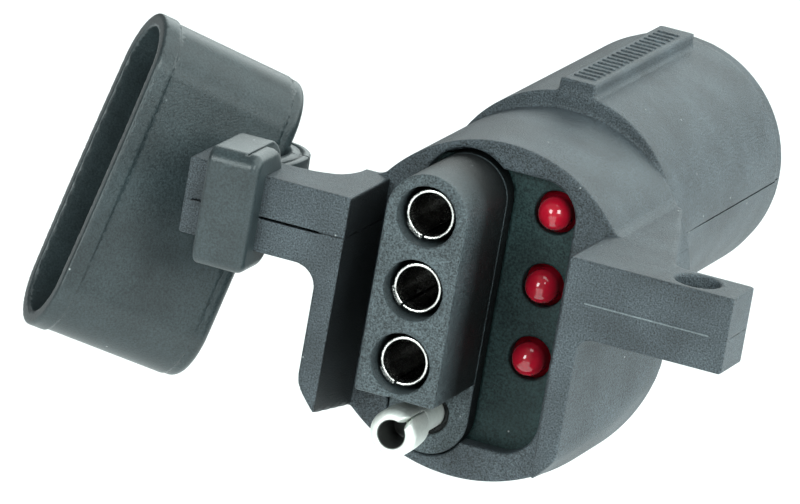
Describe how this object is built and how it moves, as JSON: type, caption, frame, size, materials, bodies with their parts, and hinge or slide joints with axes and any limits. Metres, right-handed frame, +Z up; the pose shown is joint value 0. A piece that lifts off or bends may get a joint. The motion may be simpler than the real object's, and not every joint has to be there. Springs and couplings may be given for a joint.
{
  "type": "trailer wiring connector",
  "caption": "Adapter from a flat trailer plug to a round vehicle socket, with red test lamps between side arms and a tethered rubber dust cap.",
  "frame": {"origin": "on the round plug's axis, in the plane of the barrel's shoulder", "axes": "+Y out along the round plug, +Z up through its key rib, +X towards the arm with the hole; the flat head faces -Y"},
  "size_m": [0.0999, 0.0908, 0.0503],
  "materials": {
    "moulded_plastic": "fine moulded grain",
    "rubber": "soft satin",
    "terminal_metal": "tin plated, rolled",
    "contact_brass": "turned",
    "red_lens": "gloss, translucent",
    "core_plastic": "satin",
    "board_laminate": "solder mask",
    "resistor_body": "lacquered",
    "wire_white": "satin",
    "wire_brown": "satin",
    "wire_yellow": "satin",
    "wire_green": "satin"
  },
  "bodies": {
    "adapter": {"upper_shell": "moulded_plastic", "lower_shell": "moulded_plastic", "lamp_plate": "moulded_plastic", "flat_block": "moulded_plastic", "socket_tube_1": "terminal_metal", "socket_tube_2": "terminal_metal", "socket_tube_3": "terminal_metal", "ground_pin": "terminal_metal", "led_1": "red_lens", "led_2": "red_lens", "led_3": "red_lens", "led_leads": "terminal_metal", "circuit_board": "board_laminate", "resistors": "resistor_body", "wire_ground": "wire_white", "wire_tail": "wire_brown", "wire_left": "wire_yellow", "wire_right": "wire_green", "terminal_core": "core_plastic", "cap_loop": "rubber", "round_contact_1": "contact_brass", "round_contact_2": "contact_brass", "round_contact_3": "contact_brass", "round_contact_4": "contact_brass", "round_contact_5": "contact_brass", "round_contact_6": "contact_brass"},
    "strap": {"cap_strap": "rubber"},
    "cap": {"dust_cap": "rubber"}
  },
  "joints": [
    {"name": "strap_swing", "type": "hinge", "parent": "adapter", "child": "strap", "pos_m": [-0.03, -0.0254, 0.0007], "axis": [0, 0, 1], "range_deg": [-30, 15], "stiffness_Nm_per_rad": 0.002},
    {"name": "cap_swing", "type": "hinge", "parent": "strap", "child": "cap", "pos_m": [-0.0309, -0.0147, 0.0007], "axis": [0, 0, 1], "range_deg": [-40, 0], "stiffness_Nm_per_rad": 0.002}
  ]
}
